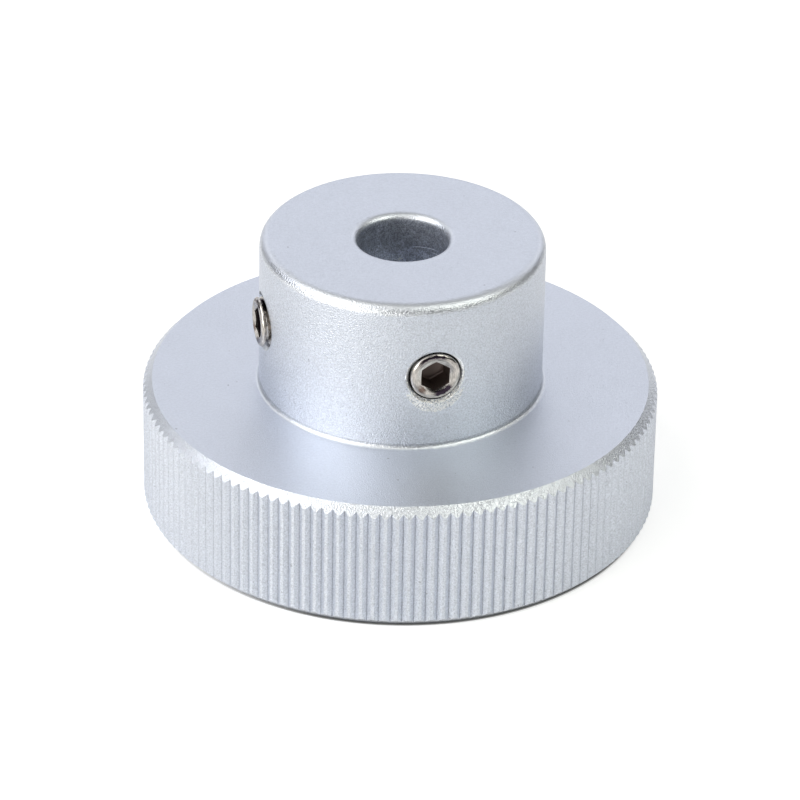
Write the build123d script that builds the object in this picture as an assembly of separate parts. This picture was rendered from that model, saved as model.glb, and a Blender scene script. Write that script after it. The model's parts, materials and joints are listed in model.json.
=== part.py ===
from build123d import *
import math
import os

# Knurled handwheel with a clamping hub.
# Frame: origin at the centre of the wheel's underside, +Z up along the bore towards the hub.
# The front set screw points along -Y and the side set screw along -X. Millimetres, degrees.

# rim
RIM_DIAMETER = 60.0
RIM_HEIGHT = 15.6
RIM_CHAMFER_ACROSS = 1.05
RIM_CHAMFER_ALONG = 1.1

# straight knurl: V grooves parallel to the bore, the first one centred on +X
GROOVE_COUNT = 140
GROOVE_DEPTH = 0.42
GROOVE_ANGLE = 100.0

# hub
HUB_DIAMETER = 33.0
HUB_PROJECTION = 18.5
HUB_TOP_ROUND = 1.25
HUB_FOOT_ROUND = 0.45

# bore
BORE_DIAMETER = 10.5
BORE_MOUTH_ROUND = 0.9
BORE_FOOT_CHAMFER = 0.5

# two tapped holes through the hub's wall at its mid-height, a quarter turn apart
TAP_DIAMETER = 6.0
TAP_EDGE_BREAK = 0.4
FRONT_AZIMUTH = -90.0
SIDE_AZIMUTH = 180.0

# set screws: fit in the hole, ends, and how far each head stands out of the hub's skin
THREAD_PLAY = 0.1
TIP_CLEARANCE = 1.25
HEAD_CHAMFER = 0.45
TIP_CHAMFER = 0.95
CUP_RADIUS = 1.5
CUP_DEPTH = 0.8
FRONT_STAND = 0.0
SIDE_STAND = 0.65

# hexagon sockets
KEY_SIZE = 3.0
KEY_PLAY = 0.2
SOCKET_DEPTH = 2.9
SOCKET_LEAD_IN = 0.1
SOCKET_CONE = 0.7
FRONT_SOCKET_TURN = -2.0
SIDE_SOCKET_TURN = 16.0

# worked out from the sizes above
RIM_RADIUS = RIM_DIAMETER / 2
HUB_RADIUS = HUB_DIAMETER / 2
BORE_RADIUS = BORE_DIAMETER / 2
TOTAL_HEIGHT = RIM_HEIGHT + HUB_PROJECTION
TAP_RADIUS = TAP_DIAMETER / 2
TAP_AXIS_Z = RIM_HEIGHT + HUB_PROJECTION / 2
SCREW_RADIUS = TAP_RADIUS - THREAD_PLAY
SCREW_LENGTH = HUB_RADIUS - BORE_RADIUS - TIP_CLEARANCE
SOCKET_RADIUS = (KEY_SIZE + KEY_PLAY) / 2

NEAR = 0.01
ON_BASE = (Align.CENTER, Align.CENTER, Align.MIN)
UNDER_TOP = (Align.CENTER, Align.CENTER, Align.MAX)


def circle_at(solid, radius, height):
    """The circular edges of that radius at that height."""
    circles = solid.edges().filter_by(GeomType.CIRCLE)
    level = circles.filter_by_position(Axis.Z, height - NEAR, height + NEAR)
    return level.filter_by(lambda edge: abs(edge.radius - radius) < NEAR)


def chamfer_rim(blank, height):
    """The blank with the rim's edge at that height chamfered."""
    level = blank.faces().filter_by(Plane.XY)
    flat = level.filter_by_position(Axis.Z, height - NEAR, height + NEAR)[0]
    edge = circle_at(blank, RIM_RADIUS, height)
    return chamfer(edge, RIM_CHAMFER_ACROSS, RIM_CHAMFER_ALONG, reference=flat)


def turned_blank():
    """Rim, hub and bore as they leave the lathe, before the rim is knurled."""
    rim = Cylinder(RIM_RADIUS, RIM_HEIGHT, align=ON_BASE)
    hub = Cylinder(HUB_RADIUS, TOTAL_HEIGHT, align=ON_BASE)
    bore = Cylinder(BORE_RADIUS, TOTAL_HEIGHT, align=ON_BASE)
    blank = rim + hub - bore
    blank = chamfer_rim(blank, RIM_HEIGHT)
    blank = chamfer_rim(blank, 0)
    blank = chamfer(circle_at(blank, BORE_RADIUS, 0), BORE_FOOT_CHAMFER)
    blank = fillet(circle_at(blank, HUB_RADIUS, RIM_HEIGHT), HUB_FOOT_ROUND)
    blank = fillet(circle_at(blank, HUB_RADIUS, TOTAL_HEIGHT), HUB_TOP_ROUND)
    return fillet(circle_at(blank, BORE_RADIUS, TOTAL_HEIGHT), BORE_MOUTH_ROUND)


def knurl_star():
    """Prism whose outline runs down each groove to its root; its points reach past the rim."""
    half_pitch = math.pi / GROOVE_COUNT
    slope = math.tan(math.radians(GROOVE_ANGLE / 2))
    root = RIM_RADIUS - GROOVE_DEPTH
    point = root * slope / (slope * math.cos(half_pitch) - math.sin(half_pitch))
    outline = []
    for index in range(GROOVE_COUNT):
        angle = 2 * half_pitch * index
        outline.append((root * math.cos(angle), root * math.sin(angle)))
        angle += half_pitch
        outline.append((point * math.cos(angle), point * math.sin(angle)))
    return extrude(make_face(Polyline(*outline, close=True)), TOTAL_HEIGHT)


def tap_plane(azimuth, reach):
    """Plane across a tapped hole at that reach from the bore's axis, facing outwards."""
    outward = Vector(1, 0, 0).rotate(Axis.Z, azimuth)
    across = Vector(0, 1, 0).rotate(Axis.Z, azimuth)
    return Plane(outward * reach + Vector(0, 0, TAP_AXIS_Z), x_dir=across, z_dir=outward)


def tap_hole(wheel, azimuth):
    """The wheel with a hole from its bore to the hub's skin, its outer edge broken."""
    drill = Cylinder(TAP_RADIUS, 2 * HUB_RADIUS, align=ON_BASE)
    drilled = wheel - tap_plane(azimuth, 0) * drill
    skin_centre = tap_plane(azimuth, HUB_RADIUS).origin
    mouth = drilled.edges().sort_by_distance(skin_centre)[0]
    return chamfer(mouth, TAP_EDGE_BREAK)


def handwheel():
    """The one-piece wheel: turned blank, knurled rim and two tapped holes in the hub."""
    wheel = turned_blank() & knurl_star()
    wheel = tap_hole(wheel, FRONT_AZIMUTH)
    return tap_hole(wheel, SIDE_AZIMUTH)


def hexagon(radius, turn):
    """Hexagon with that radius to its flats and a corner pointing up when turn is zero."""
    return RegularPolygon(radius, 6, major_radius=False, rotation=90 + turn)


def set_screw(azimuth, stand, turn):
    """Cup-point set screw with a hexagon socket, its head standing out of the hub by stand."""
    screw = Cylinder(SCREW_RADIUS, SCREW_LENGTH, align=UNDER_TOP)
    screw = chamfer(circle_at(screw, SCREW_RADIUS, 0), HEAD_CHAMFER)
    screw = chamfer(circle_at(screw, SCREW_RADIUS, -SCREW_LENGTH), TIP_CHAMFER)
    screw -= extrude(hexagon(SOCKET_RADIUS, turn), -SOCKET_DEPTH)
    screw -= extrude(hexagon(SOCKET_RADIUS + SOCKET_LEAD_IN, turn), -SOCKET_LEAD_IN, taper=45)
    screw -= Pos(0, 0, -SOCKET_DEPTH) * Cone(0, SOCKET_RADIUS, SOCKET_CONE, align=UNDER_TOP)
    screw -= Pos(0, 0, -SCREW_LENGTH) * Cone(CUP_RADIUS, 0, CUP_DEPTH, align=ON_BASE)
    return tap_plane(azimuth, HUB_RADIUS + stand) * screw


os.makedirs("parts", exist_ok=True)
export_step(handwheel(), "parts/handwheel.step")
export_step(set_screw(FRONT_AZIMUTH, FRONT_STAND, FRONT_SOCKET_TURN), "parts/set_screw_front.step")
export_step(set_screw(SIDE_AZIMUTH, SIDE_STAND, SIDE_SOCKET_TURN), "parts/set_screw_side.step")
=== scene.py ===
import json
import math

import bmesh
import bpy
from mathutils import Matrix, Vector


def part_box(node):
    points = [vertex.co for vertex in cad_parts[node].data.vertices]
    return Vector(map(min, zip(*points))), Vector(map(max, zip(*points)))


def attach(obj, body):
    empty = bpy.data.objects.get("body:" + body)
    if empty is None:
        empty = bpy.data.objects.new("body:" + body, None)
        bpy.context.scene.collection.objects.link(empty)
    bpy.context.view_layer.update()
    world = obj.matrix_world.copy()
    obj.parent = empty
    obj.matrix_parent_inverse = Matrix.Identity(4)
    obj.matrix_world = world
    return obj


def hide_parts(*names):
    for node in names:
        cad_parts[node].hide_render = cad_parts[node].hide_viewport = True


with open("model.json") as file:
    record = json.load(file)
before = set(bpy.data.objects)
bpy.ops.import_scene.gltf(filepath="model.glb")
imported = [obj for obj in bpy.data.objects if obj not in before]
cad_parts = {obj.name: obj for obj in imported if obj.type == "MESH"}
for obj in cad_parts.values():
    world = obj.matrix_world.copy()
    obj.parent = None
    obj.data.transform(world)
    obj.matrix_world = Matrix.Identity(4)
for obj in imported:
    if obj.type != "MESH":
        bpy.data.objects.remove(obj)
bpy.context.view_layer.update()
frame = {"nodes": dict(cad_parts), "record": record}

# Everything is in metres, in the frame's own axes: +Z runs up the bore, the front screw points
# along -Y and the side screw along -X.
MM = 0.001
UP = Vector((0, 0, 1))
WHEEL = frame["nodes"]["handwheel"]


# ---------------------------------------------------------------- node helpers
def new_material(name):
    """An empty material with a Principled shader on its output."""
    material = bpy.data.materials.new(name)
    material.use_nodes = True
    tree = material.node_tree
    tree.nodes.clear()
    output = tree.nodes.new("ShaderNodeOutputMaterial")
    shader = tree.nodes.new("ShaderNodeBsdfPrincipled")
    tree.links.new(shader.outputs["BSDF"], output.inputs["Surface"])
    return material, tree, shader


def feed(tree, socket, value):
    """Links a socket to a value, or sets it where the value is a plain number or colour."""
    if isinstance(value, bpy.types.NodeSocket):
        tree.links.new(value, socket)
    else:
        socket.default_value = value


def calc(tree, operation, *values, clamp=False):
    """One Math node."""
    node = tree.nodes.new("ShaderNodeMath")
    node.operation = operation
    node.use_clamp = clamp
    for socket, value in zip(node.inputs, values):
        feed(tree, socket, value)
    return node.outputs[0]


def ramp(tree, value, low, high, at_low=0.0, at_high=1.0):
    """A smooth step from at_low to at_high while the value goes from low to high."""
    node = tree.nodes.new("ShaderNodeMapRange")
    node.interpolation_type = "SMOOTHSTEP"
    settings = {"Value": value, "From Min": low, "From Max": high, "To Min": at_low, "To Max": at_high}
    for name, setting in settings.items():
        feed(tree, node.inputs[name], setting)
    return node.outputs["Result"]


def fade(tree, value, low, high):
    """One up to low, then a smooth fall to nothing at high."""
    return ramp(tree, value, low, high, 1.0, 0.0)


def between(tree, share, first, second):
    """A number that goes smoothly from the first to the second as the share goes from nothing to one."""
    return ramp(tree, share, 0.0, 1.0, first, second)


def times(tree, product, *factors):
    """The product of several values."""
    for factor in factors:
        product = calc(tree, "MULTIPLY", product, factor)
    return product


def spread(tree, grain, amount, middle):
    """A noise value turned into one that swings round the middle by up to half the amount."""
    return calc(tree, "MULTIPLY_ADD", calc(tree, "SUBTRACT", grain, 0.5), amount, middle)


def noise(tree, place, size, detail=2.0, roughness=0.5):
    """Noise whose features are about that size, in metres."""
    node = tree.nodes.new("ShaderNodeTexNoise")
    node.inputs["Scale"].default_value = 1 / size
    node.inputs["Detail"].default_value = detail
    node.inputs["Roughness"].default_value = roughness
    tree.links.new(place, node.inputs["Vector"])
    return node.outputs[0]


def mix(tree, share, first, second):
    """A colour between two colours."""
    node = tree.nodes.new("ShaderNodeMix")
    node.data_type = "RGBA"
    feed(tree, node.inputs[0], share)
    feed(tree, node.inputs[6], first)
    feed(tree, node.inputs[7], second)
    return node.outputs[2]


def scaled(tree, shade, factor):
    """A colour times a number."""
    node = tree.nodes.new("ShaderNodeVectorMath")
    node.operation = "SCALE"
    feed(tree, node.inputs[0], shade[:3] if isinstance(shade, tuple) else shade)
    feed(tree, node.inputs["Scale"], factor)
    return node.outputs[0]


def bump(tree, height, strength, distance, under=None):
    """A Bump node's normal, laid over another normal where one is given."""
    node = tree.nodes.new("ShaderNodeBump")
    feed(tree, node.inputs["Strength"], strength)
    node.inputs["Distance"].default_value = distance
    tree.links.new(height, node.inputs["Height"])
    if under is not None:
        tree.links.new(under, node.inputs["Normal"])
    return node.outputs["Normal"]


def squeezed(tree, place, factors):
    """The place with each coordinate times its own factor."""
    node = tree.nodes.new("ShaderNodeVectorMath")
    node.operation = "MULTIPLY"
    tree.links.new(place, node.inputs[0])
    node.inputs[1].default_value = factors
    return node.outputs[0]


def length_of(tree, across, along):
    """Length of a vector with those two parts."""
    squares = calc(tree, "MULTIPLY_ADD", along, along, times(tree, across, across))
    return calc(tree, "SQRT", squares)


def local_place(tree):
    """The object's own coordinates, whole and split into x, y and z."""
    place = tree.nodes.new("ShaderNodeTexCoord").outputs["Object"]
    split = tree.nodes.new("ShaderNodeSeparateXYZ")
    tree.links.new(place, split.inputs[0])
    return place, split.outputs[0], split.outputs[1], split.outputs[2]


def true_normal(tree):
    """The surface's own direction, split into x, y and z."""
    split = tree.nodes.new("ShaderNodeSeparateXYZ")
    tree.links.new(tree.nodes.new("ShaderNodeNewGeometry").outputs["Normal"], split.inputs[0])
    return split.outputs


def rounded_up(tree, share, lift):
    """The surface's own direction, tipped upwards where share is one."""
    lifted = tree.nodes.new("ShaderNodeCombineXYZ")
    tree.links.new(times(tree, share, lift), lifted.inputs[2])
    total = tree.nodes.new("ShaderNodeVectorMath")
    tree.links.new(tree.nodes.new("ShaderNodeNewGeometry").outputs["Normal"], total.inputs[0])
    tree.links.new(lifted.outputs[0], total.inputs[1])
    unit = tree.nodes.new("ShaderNodeVectorMath")
    unit.operation = "NORMALIZE"
    tree.links.new(total.outputs[0], unit.inputs[0])
    return unit.outputs[0]


def band(tree, value, low, high, soft):
    """One between low and high, nothing outside, with edges that wide."""
    rise = ramp(tree, value, low - soft / 2, low + soft / 2)
    return times(tree, rise, fade(tree, value, high - soft / 2, high + soft / 2))


def to_the_right(tree, x, y):
    """How far a place is to the right of the bore's axis, as the camera's bearing has it."""
    return calc(tree, "MULTIPLY_ADD", x, RIGHT.x, times(tree, y, RIGHT.y))


def colour(red, green, blue):
    """A colour as it looks on a screen, 0 to 1, turned into a shader's linear colour."""
    return tuple(((v + 0.055) / 1.055) ** 2.4 for v in (red, green, blue)) + (1.0,)


# ---------------------------------------------------------------- sizes that the materials follow
BORE_MOUNT = frame["record"]["mounts"][0]["dims"]
BORE_RADIUS = BORE_MOUNT["r_mm"] * MM
RIM_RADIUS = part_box("handwheel")[1][0]
TAP_HEIGHT = (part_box("set_screw_front")[0][2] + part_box("set_screw_front")[1][2]) / 2
RIM_TOP = 15.6 * MM
GROOVE_DEPTH = 0.42 * MM
CHAMFER_ACROSS = 1.05 * MM

# hub: beyond the first radius lies its skin, beyond the second the rim's flat face. Painted shade
# runs round its foot, in the corner with the flat face, between two heights
HUB_SKIN = 13 * MM
HUB_EDGE = 17 * MM
FOOT_SHADE_LOW = RIM_TOP + 0.35 * MM
FOOT_SHADE_HIGH = RIM_TOP + 0.62 * MM

# tapped holes, as radii round a hole's axis
# painted shade in the gap round the front screw reaches out to this radius
GAP_SHADE_RADIUS = 3.02 * MM
LIP_RADIUS = 3.4 * MM
SHADE_RADIUS = 3.45 * MM

# worn patch: a disc whose middle is a little below the front screw's axis, faded out towards its top
WEAR_RADIUS = 3.75 * MM
WEAR_DROP = 0.9 * MM
WEAR_FADE = (-1.6 * MM, -0.4 * MM)

# scratch and nick in the bore: each keeps between two heights, which climb to the right, and
# between two reaches to the right, as the camera's bearing has it
CAMERA_AZIMUTH = 255.9
BEARING = math.radians(CAMERA_AZIMUTH)
RIGHT = Vector((-math.sin(BEARING), math.cos(BEARING), 0))
SCRATCH_RISE = 0.15
SCRATCH_SHINE = 1.9
SCRATCH_LINE = (29.78 * MM, 29.86 * MM)
SCRATCH_SPAN = (1.2 * MM, 3.9 * MM)
NICK_LINE = (29.3 * MM, 29.38 * MM)
NICK_SPAN = (3.4 * MM, 4.4 * MM)

# size of one feature in each pattern of the aluminium, then of the steel
SIDE_GRAIN = 0.18 * MM
FACE_GRAIN = 0.3 * MM
RELIEF_GRAIN = 0.15 * MM
SPECK_SIZE = 0.6 * MM
CLOUD_SIZE = 5 * MM
RAGGED_SIZE = 0.8 * MM
SCUFF_SIZE = 0.17 * MM
DRILL_MARK = 0.3 * MM
MOTTLE_SIZE = 0.9 * MM
LATHE_RING = 0.16 * MM
STAIN_RAG = 0.5 * MM

# colours
ALUMINIUM = colour(0.88, 0.899, 0.936)
# painted shade at the roots of the knurl's grooves
SHADED_GROOVE_ROOT = colour(0.78, 0.795, 0.83)
TURNED_EDGE = colour(0.92, 0.937, 0.965)
RIM_EDGE = colour(0.925, 0.942, 0.97)
BRIGHT_EDGE = colour(0.94, 0.96, 1.0)
SHADED_EDGE = colour(0.45, 0.47, 0.50)
BORE_WALL = colour(0.60, 0.622, 0.67)
STEEL = colour(0.82, 0.80, 0.78)
# painted dark reflection on the screws' turned faces
DARK_REFLECTION = colour(0.25, 0.21, 0.26)
BROWN_STAIN = colour(0.52, 0.45, 0.42)
# painted shade inside the hex socket; the proud side screw gets the darker copy
SHADED_SOCKET = colour(0.49, 0.445, 0.43)
DEEPER_SHADED_SOCKET = colour(0.24, 0.20, 0.23)
# painted shade in the gap round the front screw, on the hole's wall and on the screw's edge
GAP_SHADE = colour(0.12, 0.11, 0.13)

# roughness of each finish
BLASTED = 0.42
TURNED = 0.36
RUBBED = 0.3
DRILLED = 0.5
POLISHED = 0.2
DULL_SOCKET = 0.45

# how metallic the bore's wall is, how deep the relief goes, and how far the bright lip is tipped up
BORE_METAL = 0.6
GRAIN_RELIEF = 0.07 * MM
SCUFF_RELIEF = 0.15 * MM
LIP_TIP = 0.45


# ---------------------------------------------------------------- materials
def bore_tint(tree, grain):
    """Light and dark on the bore's wall: mottled, with painted light deeper down where the bore lies in
    shade, and fine marks that run round it.
    """
    place, x, y, z = local_place(tree)
    lines = noise(tree, squeezed(tree, place, (0.12, 0.12, 1.0)), DRILL_MARK, 2.0, 0.6)
    mottle = noise(tree, place, MOTTLE_SIZE, 3.0, 0.65)
    wall = times(
        tree,
        ramp(tree, lines, 0.35, 0.7, 0.92, 1.1),
        ramp(tree, mottle, 0.35, 0.7, 0.82, 1.18),
        ramp(tree, grain, 0.3, 0.7, 0.7, 1.3),
        # painted light: the wall is lit up deeper down, against the bore's shade
        ramp(tree, z, 27 * MM, 31.5 * MM, 2.4, 1.05),
    )
    rightward = to_the_right(tree, x, y)
    level = calc(tree, "MULTIPLY_ADD", rightward, -SCRATCH_RISE, z)

    def mark(line, span, soft):
        return times(tree, band(tree, level, *line, 0.06 * MM), band(tree, rightward, *span, soft))

    scratch = mark(SCRATCH_LINE, SCRATCH_SPAN, 0.8 * MM)
    nick = mark(NICK_LINE, NICK_SPAN, 0.5 * MM)
    return calc(tree, "MULTIPLY_ADD", calc(tree, "MAXIMUM", scratch, nick), SCRATCH_SHINE, wall)


def aluminium():
    """Bead-blasted and clear anodised, with brighter turned edges and a darker drilled bore."""
    material, tree, shader = new_material("bead_blasted_aluminium")
    place, x, y, z = local_place(tree)
    radius = length_of(tree, x, y)
    above = calc(tree, "SUBTRACT", z, TAP_HEIGHT)
    front = calc(tree, "LESS_THAN", y, 0.0)
    side = calc(tree, "LESS_THAN", x, 0.0)
    skin_deep = ramp(tree, radius, HUB_SKIN, HUB_SKIN + 0.5 * MM)

    # parts of the wheel, told apart by how far a face leans and by its radius
    upright = calc(tree, "ABSOLUTE", true_normal(tree)[2])
    faced = ramp(tree, upright, 0.3, 0.95)
    edge = band(tree, upright, 0.16, 0.95, 0.12)
    chamfer = ramp(tree, radius, RIM_RADIUS - 1.3 * MM, RIM_RADIUS - 1.1 * MM)
    rim_edge = times(tree, edge, chamfer)
    bore = fade(tree, radius, BORE_RADIUS, BORE_RADIUS + 0.15 * MM)
    # painted shade: the roots of the knurl's grooves are darker, as shade falls in their recess
    groove = band(tree, radius, RIM_RADIUS - 0.6 * MM, RIM_RADIUS - GROOVE_DEPTH + 0.06 * MM, 0.1 * MM)
    root = times(tree, groove, fade(tree, upright, 0.1, 0.2))
    foot = fade(tree, radius, HUB_EDGE, HUB_EDGE + 0.2 * MM)
    # painted shade in the corner at the hub's foot
    foot_shade = times(tree, band(tree, z, FOOT_SHADE_LOW, FOOT_SHADE_HIGH, 0.15 * MM), foot)

    # blasted grain: stronger on the sides than on the faced flats, strongest on the rim's edges
    side_grain = noise(tree, place, SIDE_GRAIN, 1.0)
    face_grain = noise(tree, place, FACE_GRAIN, 1.0)
    relief = noise(tree, place, RELIEF_GRAIN, 0.0)
    cloud = noise(tree, place, CLOUD_SIZE, 3.0, 0.55)
    side_tint = spread(tree, side_grain, between(tree, rim_edge, 0.6, 0.9), 1.0)
    face_tint = spread(tree, face_grain, 0.15, 1.0)
    speck = ramp(tree, noise(tree, place, SPECK_SIZE, 0.0), 0.85, 0.88, 1.0, 0.7)

    # rough bare patch where the key has rubbed the hub below the front screw
    below = calc(tree, "SUBTRACT", z, TAP_HEIGHT - WEAR_DROP)
    ragged = noise(tree, place, RAGGED_SIZE, 2.0, 0.6)
    reach = spread(tree, ragged, 0.5 * MM, length_of(tree, x, below))
    patch = fade(tree, reach, WEAR_RADIUS - 0.25 * MM, WEAR_RADIUS)
    wear = times(tree, patch, fade(tree, below, *WEAR_FADE), front)
    scuffs = noise(tree, place, SCUFF_SIZE, 1.0, 0.6)
    worn_tint = ramp(tree, scuffs, 0.36, 0.54, 0.68, 1.25)

    # the broken edge of the front hole is rubbed bright; behind it the hole's wall is painted near black,
    # as shade in the gap round the screw
    from_front = length_of(tree, x, above)
    lip = times(tree, fade(tree, from_front, LIP_RADIUS, LIP_RADIUS + 0.1 * MM), front, skin_deep)
    gap_shade = times(tree, fade(tree, from_front, GAP_SHADE_RADIUS, GAP_SHADE_RADIUS + 0.08 * MM), front, skin_deep)

    # the side hole's edge is in shade above its screw
    shaded = fade(tree, length_of(tree, y, above), SHADE_RADIUS, SHADE_RADIUS + 0.15 * MM)
    shaded = times(tree, shaded, ramp(tree, above, 1.8 * MM, 2.6 * MM), side, skin_deep)

    # colour: tinted metal, then the painted gap shade over it, and the bore's wall in place of both
    tint = between(tree, faced, side_tint, face_tint)
    tint = between(tree, wear, tint, worn_tint)
    # painted shade in the groove roots
    plain = mix(tree, root, ALUMINIUM, SHADED_GROOVE_ROOT)
    plain = mix(tree, calc(tree, "MAXIMUM", edge, wear), plain, TURNED_EDGE)
    plain = mix(tree, rim_edge, plain, RIM_EDGE)
    plain = mix(tree, lip, plain, BRIGHT_EDGE)
    plain = mix(tree, shaded, plain, SHADED_EDGE)
    # the painted shade darkens the band at the hub's foot
    plain = scaled(tree, plain, between(tree, foot_shade, 1.0, 0.8))
    plain = scaled(tree, scaled(tree, plain, tint), speck)
    plain = mix(tree, gap_shade, plain, GAP_SHADE)
    drilled = scaled(tree, BORE_WALL, bore_tint(tree, side_grain))
    tree.links.new(mix(tree, bore, plain, drilled), shader.inputs["Base Color"])

    metallic = calc(tree, "SUBTRACT", between(tree, bore, 1.0, BORE_METAL), gap_shade, clamp=True)
    tree.links.new(metallic, shader.inputs["Metallic"])
    rough = between(tree, edge, spread(tree, cloud, 0.08, BLASTED), TURNED)
    rough = between(tree, calc(tree, "MAXIMUM", wear, lip), rough, RUBBED)
    tree.links.new(between(tree, bore, rough, DRILLED), shader.inputs["Roughness"])

    # relief: shallow on the faced flats and in the bore, deepest on the rim's edges
    depth = calc(tree, "MULTIPLY_ADD", faced, -0.5, 1.0)
    depth = calc(tree, "MULTIPLY_ADD", edge, -0.1, depth)
    depth = calc(tree, "MULTIPLY_ADD", rim_edge, 0.5, depth)
    depth = times(tree, depth, calc(tree, "MULTIPLY_ADD", bore, -0.6, 1.0))
    skin = bump(tree, times(tree, relief, depth), 1.0, GRAIN_RELIEF, rounded_up(tree, lip, LIP_TIP))
    tree.links.new(bump(tree, scuffs, wear, SCUFF_RELIEF, skin), shader.inputs["Normal"])
    return material


def plated_steel(name, socket_shadow_colour, sunk):
    """Bright plated steel with turned rings, painted dark reflections and a brown stain. A sunk screw's
    outer edge is painted near black as shade in the gap round it.
    """
    material, tree, shader = new_material(name)
    place, x, y, z = local_place(tree)
    radius = length_of(tree, x, y)
    angle = calc(tree, "ARCTAN2", x, y)

    # the socket: below its countersink, and no farther out than its corners
    inside = fade(tree, z, -0.45 * MM, -0.25 * MM)
    socket = times(tree, inside, fade(tree, radius, 1.95 * MM, 2.05 * MM))

    # rings left by the lathe, drawn in the plane of radius and angle
    turned = tree.nodes.new("ShaderNodeCombineXYZ")
    tree.links.new(radius, turned.inputs[0])
    tree.links.new(times(tree, angle, 0.5 * MM), turned.inputs[1])
    rings = ramp(tree, noise(tree, turned.outputs[0], LATHE_RING, 2.0, 0.6), 0.3, 0.7, 0.7, 1.15)

    # patches with ragged edges, each round a middle angle that is counted clockwise from the top
    ragged = calc(tree, "SUBTRACT", noise(tree, place, STAIN_RAG, 3.0, 0.65), 0.5)
    out = calc(tree, "MULTIPLY_ADD", ragged, 0.5 * MM, radius)
    round_about = calc(tree, "MULTIPLY_ADD", ragged, 0.5, angle)

    def ragged_patch(middle, half, low, high):
        off = calc(tree, "WRAP", calc(tree, "SUBTRACT", round_about, middle), math.pi, -math.pi)
        share = fade(tree, calc(tree, "ABSOLUTE", off), half - 0.15, half + 0.15)
        return times(tree, share, band(tree, out, low * MM, high * MM, 0.12 * MM))

    # painted dark reflection of the turned face: a dim band and a dark line on top, and a patch low on the
    # right; a small brown stain low on the left
    face = mix(tree, times(tree, ragged_patch(-0.25, 0.75, 2.1, 2.6), 0.4), STEEL, DARK_REFLECTION)
    face = mix(tree, ragged_patch(-0.15, 0.62, 2.42, 2.72), face, DARK_REFLECTION)
    face = mix(tree, ragged_patch(2.7, 0.5, 1.92, 2.46), face, DARK_REFLECTION)
    face = mix(tree, ragged_patch(-2.3, 0.22, 1.95, 2.5), face, BROWN_STAIN)
    # painted shade in the socket's recess
    shade = mix(tree, socket, scaled(tree, face, rings), socket_shadow_colour)
    metallic = 1.0
    if sunk:
        # painted shade: a sunk screw's outer edge, down in the gap, is painted near black and not metallic
        gap_shade = times(tree, fade(tree, z, -0.46 * MM, -0.4 * MM), ramp(tree, radius, 2.2 * MM, 2.3 * MM))
        shade = mix(tree, gap_shade, shade, GAP_SHADE)
        metallic = between(tree, gap_shade, 1.0, 0.0)
    tree.links.new(shade, shader.inputs["Base Color"])
    feed(tree, shader.inputs["Metallic"], metallic)
    tree.links.new(between(tree, socket, POLISHED, DULL_SOCKET), shader.inputs["Roughness"])
    return material


# ---------------------------------------------------------------- set screws
THREAD_PITCH = 1.0 * MM
THREAD_DEPTH = 0.58 * MM
THREAD_START = 0.25 * MM
ROWS_A_TURN = 16
CREST_SHARE = 2 / 16
ROOT_SHARE = 4 / 16
AROUND = 96
KEY_ACROSS = 3.3 * MM
SOCKET_DEPTH = 2.9 * MM
FACE_RADIUS = 2.45 * MM
HEAD_ROUND = 0.4 * MM
SINK_RADIUS = 2.25 * MM
SINK_SLOPE = math.tan(math.radians(22))
FLOOR_BEVEL = 0.12 * MM
DRILL_RADIUS = 1.3 * MM
DRILL_DEPTH = 0.6 * MM
TIP_RADIUS = 1.9 * MM
CUP_RADIUS = 1.5 * MM
CUP_DEPTH = 0.8 * MM
FRONT_TURN = math.radians(-2)
SIDE_TURN = math.radians(16)
WELD_DISTANCE = 0.005 * MM
SHARP_ANGLE = math.radians(28)


def thread_cut(turns):
    """How much of the thread's depth is cut away there: none on the crest, all of it on the root."""
    part = turns % 1.0
    flank = (1 - CREST_SHARE - ROOT_SHARE) / 2
    if part < CREST_SHARE:
        return 0.0
    if part < CREST_SHARE + flank:
        return (part - CREST_SHARE) / flank
    if part < CREST_SHARE + flank + ROOT_SHARE:
        return 1.0
    return (1 - part) / flank


def hexagon_reach(i):
    """Distance from the axis to the hexagon, along ray i. Ray 0 goes through a corner."""
    from_flat = (i % (AROUND / 6)) / AROUND * math.tau - math.pi / 6
    return KEY_ACROSS / 2 / math.cos(from_flat)


def head_reach(outer, depth):
    """Radius of the head's rounded edge at that depth below its face."""
    if depth >= HEAD_ROUND:
        return outer
    return FACE_RADIUS + (outer - FACE_RADIUS) * math.sqrt(1 - (1 - depth / HEAD_ROUND) ** 2)


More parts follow.
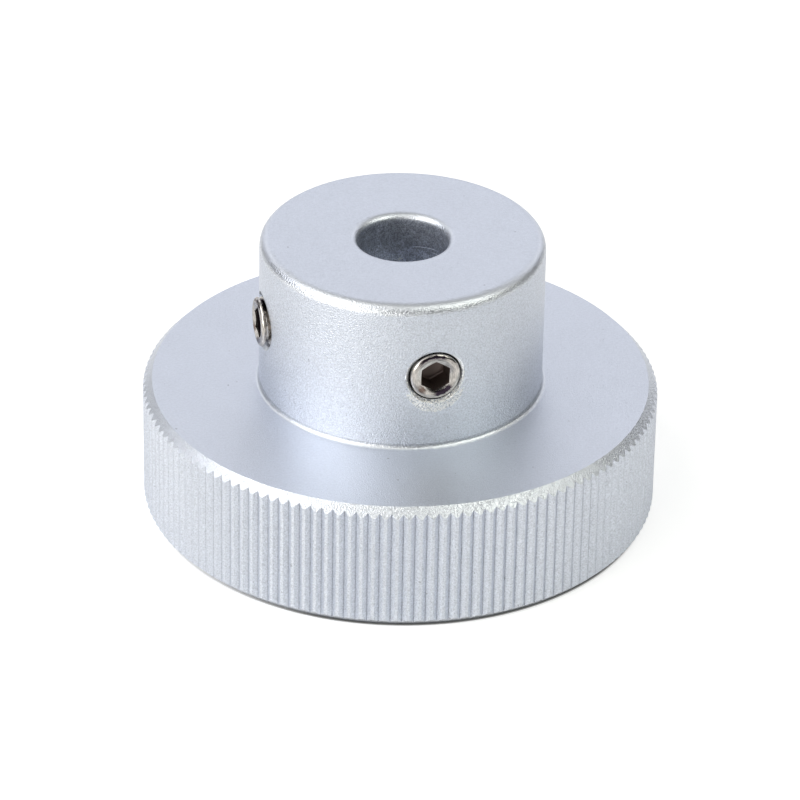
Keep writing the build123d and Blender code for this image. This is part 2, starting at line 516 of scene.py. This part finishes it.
def screw_mesh(name, outer, length, turn):
    """A set screw along Z with its head's face at z = 0, its tip down, and a real helical thread."""
    shape = bmesh.new()

    def point(i, r, z):
        angle = math.tau * i / AROUND + math.pi / 2 + turn
        return shape.verts.new((r * math.cos(angle), r * math.sin(angle), z))

    def ring(reach, depth):
        return [point(i, reach(i), -depth(i)) for i in range(AROUND)]

    def skin(first, second):
        for i in range(AROUND):
            k = (i + 1) % AROUND
            shape.faces.new((first[i], first[k], second[k], second[i]))

    def close(last, depth):
        centre = shape.verts.new((0, 0, -depth))
        for i in range(AROUND):
            shape.faces.new((last[i], last[(i + 1) % AROUND], centre))

    rows = ROWS_A_TURN * (math.ceil(length / THREAD_PITCH) + 2)
    columns = []
    for i in range(AROUND):
        column = []
        for j in range(rows + 1):
            z = THREAD_PITCH * (j / ROWS_A_TURN + i / AROUND - 1) - length
            z = min(max(z, -length), 0.0)
            start = min(max((-z - HEAD_ROUND) / THREAD_START, 0.0), 1.0)
            r = outer - THREAD_DEPTH * start * thread_cut(j / ROWS_A_TURN)
            column.append(point(i, min(r, head_reach(outer, -z), TIP_RADIUS + z + length), z))
        columns.append(column)
    for i in range(AROUND):
        step = ROWS_A_TURN if i == AROUND - 1 else 0
        this, after = columns[i], columns[(i + 1) % AROUND]
        for j in range(rows - step):
            shape.faces.new((this[j], after[j + step], after[j + step + 1], this[j + 1]))

    head = [column[-1] for column in columns]
    sink = ring(lambda i: SINK_RADIUS, lambda i: 0.0)
    mouth = ring(hexagon_reach, lambda i: (SINK_RADIUS - hexagon_reach(i)) * SINK_SLOPE)
    foot = ring(hexagon_reach, lambda i: SOCKET_DEPTH - FLOOR_BEVEL)
    floor = ring(lambda i: hexagon_reach(i) * (1 - 2 * FLOOR_BEVEL / KEY_ACROSS), lambda i: SOCKET_DEPTH)
    drill = ring(lambda i: DRILL_RADIUS, lambda i: SOCKET_DEPTH)
    for first, second in zip((head, sink, mouth, foot, floor), (sink, mouth, foot, floor, drill)):
        skin(first, second)
    close(drill, SOCKET_DEPTH + DRILL_DEPTH)

    tip = [column[0] for column in columns]
    cup = ring(lambda i: CUP_RADIUS, lambda i: length)
    skin(cup, tip)
    close(cup[::-1], length - CUP_DEPTH)

    bmesh.ops.remove_doubles(shape, verts=shape.verts, dist=WELD_DISTANCE)
    bmesh.ops.recalc_face_normals(shape, faces=shape.faces)
    mesh = bpy.data.meshes.new(name)
    shape.to_mesh(mesh)
    shape.free()
    mesh.shade_smooth()
    mesh.set_sharp_from_angle(angle=SHARP_ANGLE)
    return mesh


def set_screw(name, node, turn, material):
    """A threaded screw in the place of its plain CAD solid, read from that solid's box."""
    low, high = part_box(node)
    centre = (Vector(low) + Vector(high)) / 2
    size = Vector(high) - Vector(low)
    out = Vector((centre.x, centre.y, 0)).normalized()
    length = max(size.x, size.y)
    outer = size.z / 2
    across = UP.cross(out)
    screw = bpy.data.objects.new(name, screw_mesh(name, outer, length, turn))
    bpy.context.scene.collection.objects.link(screw)
    axes = Matrix((across, UP, out)).transposed().to_4x4()
    screw.matrix_world = Matrix.Translation(centre + out * length / 2) @ axes
    screw.data.materials.append(material)
    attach(screw, "root")
    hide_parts(node)


WHEEL.data.materials.clear()
WHEEL.data.materials.append(aluminium())
# the sunk screw's socket has the lighter painted shade, the proud side screw's the darker one
sunk_steel = plated_steel("plated_steel_sunk", SHADED_SOCKET, True)
proud_steel = plated_steel("plated_steel_proud", DEEPER_SHADED_SOCKET, False)
set_screw("front_screw", "set_screw_front", FRONT_TURN, sunk_steel)
set_screw("side_screw", "set_screw_side", SIDE_TURN, proud_steel)


# ---------------------------------------------------------------- floor
FLOOR_SIZE = 3.0
CONTACT_RADIUS = RIM_RADIUS - CHAMFER_ACROSS
PAPER = (0.8, 0.8, 0.8)
WHITE_GLOW = 0.5
GLOSSY_GLOW = 0.19

# contact shadow: light left in it on the right and on the left, where it fades, and its soft outer edge
CONTACT_DARK = 0.12
CONTACT_FADED = 0.7
CONTACT_FADE = (-28 * MM, -6 * MM)
CONTACT_EDGE = (0.15 * MM, 0.6 * MM)


def floor_material():
    """White paper that glows white to the camera. The wheel's contact shadow fades towards the left."""
    material, tree, shader = new_material("white_paper")
    x, y = local_place(tree)[1:3]
    gap = calc(tree, "SUBTRACT", length_of(tree, x, y), CONTACT_RADIUS)
    darkest = ramp(tree, to_the_right(tree, x, y), *CONTACT_FADE, CONTACT_FADED, CONTACT_DARK)
    lit = ramp(tree, gap, *CONTACT_EDGE, darkest, 1.0)
    tree.links.new(scaled(tree, PAPER, lit), shader.inputs["Base Color"])
    shader.inputs["Roughness"].default_value = 1.0
    shader.inputs["Emission Color"].default_value = (1, 1, 1, 1)
    path = tree.nodes.new("ShaderNodeLightPath")
    glow = times(tree, path.outputs["Is Camera Ray"], WHITE_GLOW)
    glow = calc(tree, "MULTIPLY_ADD", path.outputs["Is Glossy Ray"], GLOSSY_GLOW, glow)
    glow = calc(tree, "MULTIPLY_ADD", path.outputs["Is Transmission Ray"], WHITE_GLOW, glow)
    tree.links.new(times(tree, glow, lit), shader.inputs["Emission Strength"])
    return material


bpy.ops.mesh.primitive_plane_add(size=FLOOR_SIZE, location=(0, 0, 0))
floor = bpy.context.object
floor.name = "floor"
floor.data.materials.append(floor_material())

# ---------------------------------------------------------------- light
STUDIO_RADIUS = 0.9
MIDDLE = Vector((0, 0, 18.6 * MM))
WARM = (1.03, 1.0, 0.92)
COOL = (0.98, 1.0, 1.08)
GREENISH = (1.0, 1.02, 0.9)
DOME_STRENGTH = 0.38
DOME_EDGE = (0.3, 0.5)


def softbox(name, azimuth, elevation, wide, high, brightness, tone):
    """A flat lamp on the studio's dome, facing its middle.

    The azimuth is counted from the camera, anticlockwise from above. All angles are in degrees.
    """
    a, e = math.radians(CAMERA_AZIMUTH + azimuth), math.radians(elevation)
    out = Vector((math.cos(a) * math.cos(e), math.sin(a) * math.cos(e), math.sin(e)))
    lamp = bpy.data.lights.new(name, "AREA")
    lamp.shape = "RECTANGLE"
    lamp.size = 2 * STUDIO_RADIUS * math.cos(e) * math.tan(math.radians(wide / 2))
    lamp.size_y = 2 * STUDIO_RADIUS * math.tan(math.radians(high / 2))
    lamp.energy = math.pi * lamp.size * lamp.size_y * brightness
    lamp.color = tone
    holder = bpy.data.objects.new(name, lamp)
    bpy.context.scene.collection.objects.link(holder)
    holder.location = MIDDLE + STUDIO_RADIUS * out
    holder.rotation_euler = out.to_track_quat("Z", "Y").to_euler()


softbox("key_low", -45, 12, 60, 24, 3.0, WARM)
softbox("left_box", -75, 36, 60, 24, 1.85, COOL)
softbox("high_left", -67.5, 60, 90, 24, 1.25, WARM)
softbox("high_right", 45, 60, 45, 24, 1.4, GREENISH)
softbox("right_box", 60, 36, 30, 24, 2.4, GREENISH)
softbox("right_side", 90, 36, 30, 24, 0.4, WARM)
softbox("back_box", 180, 24, 90, 48, 0.71, COOL)


def dome(strength):
    """A dim soft dome: dark round the horizon, even from about thirty degrees up, white to the camera.

    Its edge is given as heights on a dome of radius one.
    """
    world = bpy.data.worlds.new("studio")
    bpy.context.scene.world = world
    world.use_nodes = True
    tree = world.node_tree
    split = tree.nodes.new("ShaderNodeSeparateXYZ")
    tree.links.new(tree.nodes.new("ShaderNodeTexCoord").outputs["Generated"], split.inputs[0])
    light = tree.nodes["Background"]
    light.inputs["Color"].default_value = (1, 1, 1, 1)
    seen = tree.nodes.new("ShaderNodeLightPath").outputs["Is Camera Ray"]
    glow = ramp(tree, split.outputs[2], *DOME_EDGE, 0.0, strength)
    tree.links.new(calc(tree, "MAXIMUM", glow, seen), light.inputs["Strength"])


dome(DOME_STRENGTH)

# ---------------------------------------------------------------- camera
CAMERA_TILT = 30.594
CAMERA_ROLL = 1.042
CAMERA_AWAY = 0.51333
CAMERA_HEIGHT = 0.31583
LENS_LENGTH = 229.5
SENSOR_WIDTH = 36.0

lens = bpy.data.cameras.new("camera")
lens.lens = LENS_LENGTH
lens.sensor_width = SENSOR_WIDTH
camera = bpy.data.objects.new("camera", lens)
bpy.context.scene.collection.objects.link(camera)
bpy.context.scene.camera = camera
spot = Vector((CAMERA_AWAY * math.cos(BEARING), CAMERA_AWAY * math.sin(BEARING), CAMERA_HEIGHT))
turn = Matrix.Rotation(BEARING + math.pi / 2, 4, "Z")
tilt = Matrix.Rotation(math.radians(90 - CAMERA_TILT), 4, "X")
roll = Matrix.Rotation(math.radians(CAMERA_ROLL), 4, "Z")
camera.matrix_world = Matrix.Translation(spot) @ turn @ tilt @ roll

bpy.context.scene.view_settings.view_transform = "Standard"
